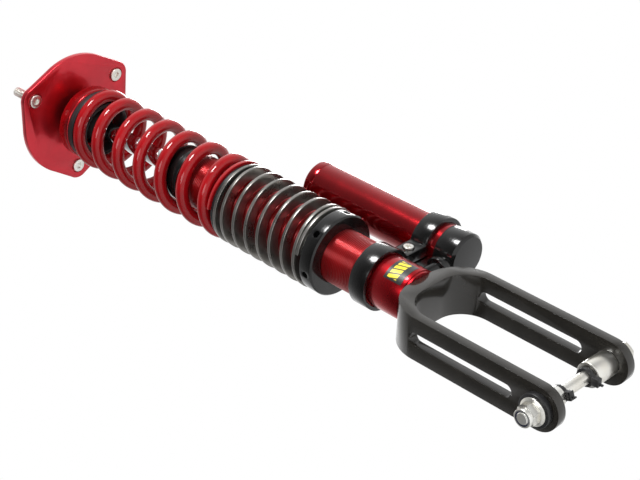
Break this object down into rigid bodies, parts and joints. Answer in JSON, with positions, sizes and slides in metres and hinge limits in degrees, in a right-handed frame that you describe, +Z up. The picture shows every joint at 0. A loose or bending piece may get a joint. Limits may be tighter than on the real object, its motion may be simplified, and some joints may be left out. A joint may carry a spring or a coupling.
{
  "type": "coilover damper",
  "caption": "Fork-ended coilover: red main coil over a flat-wire tender spring, threaded body, remote reservoir clamped alongside, three-stud top plate.",
  "frame": {"origin": "middle of the lower bolt, on its axis, halfway between the fork's arms", "axes": "+Z up the damper's axis to the top mount; +X along the lower bolt towards its head, on the reservoir's side; -Y is the side the reservoir clamp's bolt faces"},
  "size_m": [0.1829, 0.1465, 0.7455],
  "materials": {
    "red_anodised": "gloss anodised",
    "red_powder": "gloss powder coat",
    "black_anodised": "gloss anodised",
    "fork_steel": "satin paint",
    "zinc": "bright zinc plate",
    "stainless": "brushed",
    "spring_steel": "satin",
    "hard_chrome": "polished",
    "grey_steel": "machined",
    "bronze": "machined",
    "brass": "machined",
    "gold_anodised": "satin anodised",
    "seal_rubber": "matt",
    "bump_rubber": "matt",
    "nylon": "matt",
    "ptfe": "matt",
    "nut_nylon": "matt",
    "label": "printed foil"
  },
  "bodies": {
    "top_mount": {"top_plate": "red_anodised", "mount_studs": "zinc", "bearing_race": "stainless", "bearing_circlip": "spring_steel"},
    "cradle": {"bearing_liner": "ptfe"},
    "ball": {"bearing_ball": "hard_chrome"},
    "rod": {"lower_spacer": "stainless", "upper_spacer": "stainless", "top_nut": "zinc", "shaft": "hard_chrome", "upper_spring_seat": "red_anodised", "seat_pad": "nylon", "bump_stop": "bump_rubber", "piston": "grey_steel", "piston_band": "ptfe", "piston_nut": "zinc"},
    "rebound_adjuster": {"rebound_knob": "gold_anodised"},
    "damper": {"body_tube": "red_anodised", "gland_nut": "black_anodised", "wiper_seal": "seal_rubber", "oil_seal": "seal_rubber", "rod_guide": "bronze", "base_body": "red_anodised", "base_label": "label", "fork": "fork_steel", "fork_bushes": "nylon", "lower_bolt": "zinc", "lower_nut": "zinc", "nut_insert": "nut_nylon", "near_sleeve": "zinc", "far_sleeve": "zinc", "near_tie": "nylon", "far_tie": "nylon", "reservoir_clamp": "black_anodised", "clamp_bolt": "zinc", "reservoir_tube": "red_anodised", "reservoir_upper_cap": "red_anodised", "reservoir_lower_cap": "black_anodised", "gas_valve": "brass", "transfer_fitting": "black_anodised"},
    "compression_adjuster": {"compression_knob": "black_anodised"},
    "gas_piston": {"floating_piston": "grey_steel", "floating_piston_seal": "seal_rubber"},
    "perch_carrier": {"thrust_washer": "stainless", "tender_spring": "spring_steel"},
    "perch": {"perch_ring": "black_anodised", "perch_lock_screw": "zinc"},
    "divider": {"spring_divider": "nylon", "main_spring": "red_powder"}
  },
  "joints": [
    {"name": "bearing_tilt_x", "type": "hinge", "parent": "top_mount", "child": "cradle", "pos_m": [0, 0, 0.689], "axis": [1, 0, 0], "range_deg": [-7, 7]},
    {"name": "bearing_tilt_y", "type": "hinge", "parent": "cradle", "child": "ball", "pos_m": [0, 0, 0.689], "axis": [0, 1, 0], "range_deg": [-7, 7]},
    {"name": "rod_spin", "type": "hinge", "parent": "ball", "child": "rod", "pos_m": [0, 0, 0.689], "axis": [0, 0, 1], "continuous": true},
    {"name": "damper_stroke", "type": "slide", "parent": "rod", "child": "damper", "axis": [0, 0, 1], "range_m": [0, 0.108], "stiffness_N_per_m": 20000, "deforming": ["main_spring", "tender_spring"]},
    {"name": "perch_travel", "type": "slide", "parent": "damper", "child": "perch_carrier", "axis": [0, 0, 1], "range_m": [-0.01, 0]},
    {"name": "perch_turn", "type": "hinge", "parent": "perch_carrier", "child": "perch", "pos_m": [0, 0, 0.286], "axis": [0, 0, 1], "range_deg": [-1801, 0]},
    {"name": "divider_slide", "type": "slide", "parent": "perch_carrier", "child": "divider", "axis": [0, 0, 1], "range_m": [-0.054, 0]},
    {"name": "gas_piston_slide", "type": "slide", "parent": "damper", "child": "gas_piston", "axis": [0, 0, 1], "range_m": [0, 0.01642]},
    {"name": "rebound_turn", "type": "hinge", "parent": "rod", "child": "rebound_adjuster", "pos_m": [0, 0, 0.72], "axis": [0, 0, 1], "range_deg": [0, 540]},
    {"name": "compression_turn", "type": "hinge", "parent": "damper", "child": "compression_adjuster", "pos_m": [0.048, -0.003, 0.1985], "axis": [1, 0, 0], "range_deg": [0, 540]}
  ],
  "couplings": [
    {"joint": "divider_slide", "follows": "damper_stroke", "ratio": -0.5},
    {"joint": "gas_piston_slide", "follows": "damper_stroke", "ratio": 0.152},
    {"joint": "perch_turn", "follows": "perch_travel", "rad_per_m": 3141.6}
  ]
}
